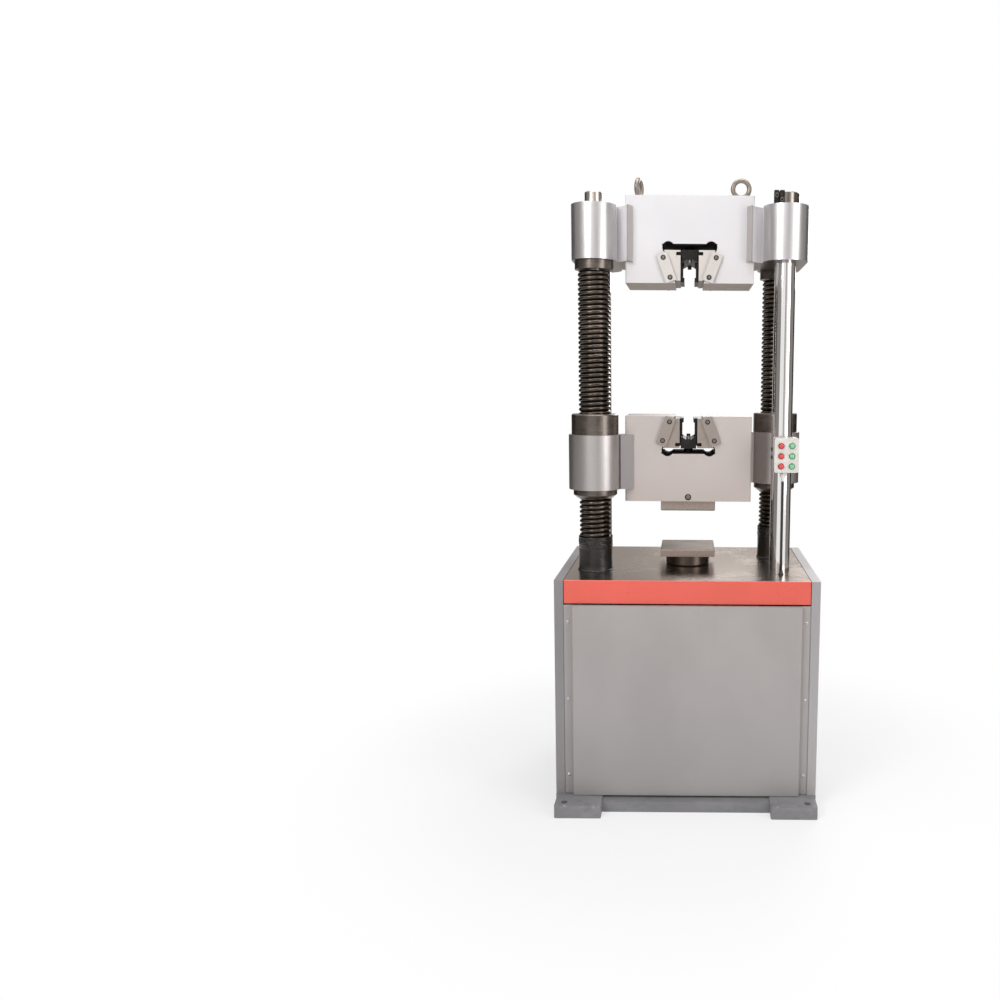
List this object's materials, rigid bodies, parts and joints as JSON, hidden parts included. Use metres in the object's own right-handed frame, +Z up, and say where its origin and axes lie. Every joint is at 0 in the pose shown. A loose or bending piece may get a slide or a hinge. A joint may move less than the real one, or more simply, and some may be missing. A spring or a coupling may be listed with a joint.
{
  "type": "universal testing machine",
  "caption": "Floor-standing hydraulic load frame with a lifting table, two crossheads, lead screws, columns, wedge grips and platens.",
  "frame": {"origin": "centre of the footprint on the floor", "axes": "+X to the operator's right, front faces -Y, +Z up"},
  "size_m": [0.88, 0.814, 2.126],
  "materials": {
    "cover_grey": "light grey sheet paint, satin",
    "side_grey": "pale grey sheet paint, satin",
    "fascia_red": "coral red paint, satin",
    "table_steel": "ground steel",
    "base_grey": "mid grey paint",
    "crosshead_silver": "silver grey paint, satin",
    "crosshead_grey": "warm light grey paint, satin",
    "chrome_bar": "hard chrome, polished",
    "screw_steel": "blackened steel, oiled",
    "nut_black": "black oxide",
    "jaw_black": "hardened black steel",
    "wedge_steel": "machined steel",
    "bronze": "bronze",
    "inner_iron": "cast, plain grey",
    "box_ivory": "ivory moulded plastic",
    "button_red": "red button",
    "button_green": "green button",
    "gland_white": "pale plastic",
    "lead_black": "black cable sheath"
  },
  "bodies": {
    "base": {"base_plate": "base_grey", "base_legs": "inner_iron", "bridge_plate": "inner_iron", "side_cover_left": "side_grey", "side_cover_right": "side_grey", "front_cover": "cover_grey", "rear_cover": "cover_grey", "oil_ports": "nut_black", "power_socket": "nut_black", "oil_cylinder": "inner_iron", "gland_ring": "bronze", "screw_bearings": "inner_iron", "drive_chain": "screw_steel", "lift_motor": "inner_iron"},
    "moving_frame": {"piston": "chrome_bar", "work_table": "table_steel", "table_fascia": "fascia_red", "screw_sleeves": "nut_black", "column_left": "chrome_bar", "column_right": "chrome_bar", "column_nuts": "wedge_steel", "upper_crosshead": "crosshead_silver", "guide_bushes": "bronze", "boss_rings": "nut_black", "eye_bolts": "wedge_steel", "lower_platen": "wedge_steel", "platen_seat": "nut_black", "button_box": "box_ivory", "box_clamp": "nut_black", "cable_gland": "gland_white", "box_lead": "lead_black", "upper_guide_plates": "wedge_steel", "upper_grip_cylinder": "inner_iron"},
    "left_screw": {"screw_left": "screw_steel", "sprocket_left": "inner_iron"},
    "right_screw": {"screw_right": "screw_steel", "sprocket_right": "inner_iron"},
    "drive_wheel": {"drive_sprocket": "inner_iron"},
    "lower_head": {"lower_crosshead": "crosshead_grey", "screw_nuts": "nut_black", "lower_rings": "nut_black", "upper_platen": "wedge_steel", "lower_guide_plates": "wedge_steel", "lower_grip_cylinder": "inner_iron"},
    "upper_pull_block": {"upper_yoke": "jaw_black"},
    "upper_left_wedge": {"upper_wedge_left": "wedge_steel", "upper_jaw_left": "jaw_black"},
    "upper_right_wedge": {"upper_wedge_right": "wedge_steel", "upper_jaw_right": "jaw_black"},
    "lower_pull_block": {"lower_yoke": "jaw_black"},
    "lower_left_wedge": {"lower_wedge_left": "wedge_steel", "lower_jaw_left": "jaw_black"},
    "lower_right_wedge": {"lower_wedge_right": "wedge_steel", "lower_jaw_right": "jaw_black"},
    "left_top_button": {"button_left_top": "button_red"},
    "left_middle_button": {"button_left_middle": "button_red"},
    "left_bottom_button": {"button_left_bottom": "button_red"},
    "right_top_button": {"button_right_top": "button_green"},
    "right_middle_button": {"button_right_middle": "button_green"},
    "right_bottom_button": {"button_right_bottom": "button_green"}
  },
  "joints": [
    {"name": "ram_lift", "type": "slide", "parent": "base", "child": "moving_frame", "axis": [0, 0, 1], "range_m": [0, 0.1]},
    {"name": "screw_left_turn", "type": "hinge", "parent": "base", "child": "left_screw", "pos_m": [-0.32, -0.125, 0], "axis": [0, 0, -1], "range_deg": [-675, 8550]},
    {"name": "screw_right_turn", "type": "hinge", "parent": "base", "child": "right_screw", "pos_m": [0.32, 0.125, 0], "axis": [0, 0, -1], "range_deg": [-680, 8555]},
    {"name": "drive_turn", "type": "hinge", "parent": "base", "child": "drive_wheel", "pos_m": [0.15, -0.185, 0], "axis": [0, 0, -1], "range_deg": [-816, 10266]},
    {"name": "lower_head_travel", "type": "slide", "parent": "base", "child": "lower_head", "axis": [0, 0, 1], "range_m": [-0.0302, 0.3802]},
    {"name": "upper_grip_open", "type": "slide", "parent": "moving_frame", "child": "upper_pull_block", "axis": [0, 0, 1], "range_m": [-0.006, 0.015]},
    {"name": "upper_left_wedge_slide", "type": "slide", "parent": "moving_frame", "child": "upper_left_wedge", "axis": [-0.342, 0, 0.9397], "range_m": [-0.00649, 0.01606]},
    {"name": "upper_right_wedge_slide", "type": "slide", "parent": "moving_frame", "child": "upper_right_wedge", "axis": [0.342, 0, 0.9397], "range_m": [-0.00649, 0.01606]},
    {"name": "lower_grip_open", "type": "slide", "parent": "lower_head", "child": "lower_pull_block", "axis": [0, 0, -1], "range_m": [-0.006, 0.015]},
    {"name": "lower_left_wedge_slide", "type": "slide", "parent": "lower_head", "child": "lower_left_wedge", "axis": [-0.342, 0, -0.9397], "range_m": [-0.00649, 0.01606]},
    {"name": "lower_right_wedge_slide", "type": "slide", "parent": "lower_head", "child": "lower_right_wedge", "axis": [0.342, 0, -0.9397], "range_m": [-0.00649, 0.01606]},
    {"name": "press_left_top", "type": "slide", "parent": "moving_frame", "child": "left_top_button", "axis": [0, 1, 0], "range_m": [0, 0.004], "stiffness_N_per_m": 400},
    {"name": "press_left_middle", "type": "slide", "parent": "moving_frame", "child": "left_middle_button", "axis": [0, 1, 0], "range_m": [0, 0.004], "stiffness_N_per_m": 400},
    {"name": "press_left_bottom", "type": "slide", "parent": "moving_frame", "child": "left_bottom_button", "axis": [0, 1, 0], "range_m": [0, 0.004], "stiffness_N_per_m": 400},
    {"name": "press_right_top", "type": "slide", "parent": "moving_frame", "child": "right_top_button", "axis": [0, 1, 0], "range_m": [0, 0.004], "stiffness_N_per_m": 400},
    {"name": "press_right_middle", "type": "slide", "parent": "moving_frame", "child": "right_middle_button", "axis": [0, 1, 0], "range_m": [0, 0.004], "stiffness_N_per_m": 400},
    {"name": "press_right_bottom", "type": "slide", "parent": "moving_frame", "child": "right_bottom_button", "axis": [0, 1, 0], "range_m": [0, 0.004], "stiffness_N_per_m": 400}
  ],
  "couplings": [
    {"joint": "screw_right_turn", "follows": "screw_left_turn", "ratio": 1},
    {"joint": "drive_turn", "follows": "screw_left_turn", "ratio": 1.2},
    {"joint": "lower_head_travel", "follows": "screw_left_turn", "m_per_rad": 0.0025465},
    {"joint": "upper_left_wedge_slide", "follows": "upper_grip_open", "ratio": 1.0642},
    {"joint": "upper_right_wedge_slide", "follows": "upper_grip_open", "ratio": 1.0642},
    {"joint": "lower_left_wedge_slide", "follows": "lower_grip_open", "ratio": 1.0642},
    {"joint": "lower_right_wedge_slide", "follows": "lower_grip_open", "ratio": 1.0642}
  ]
}
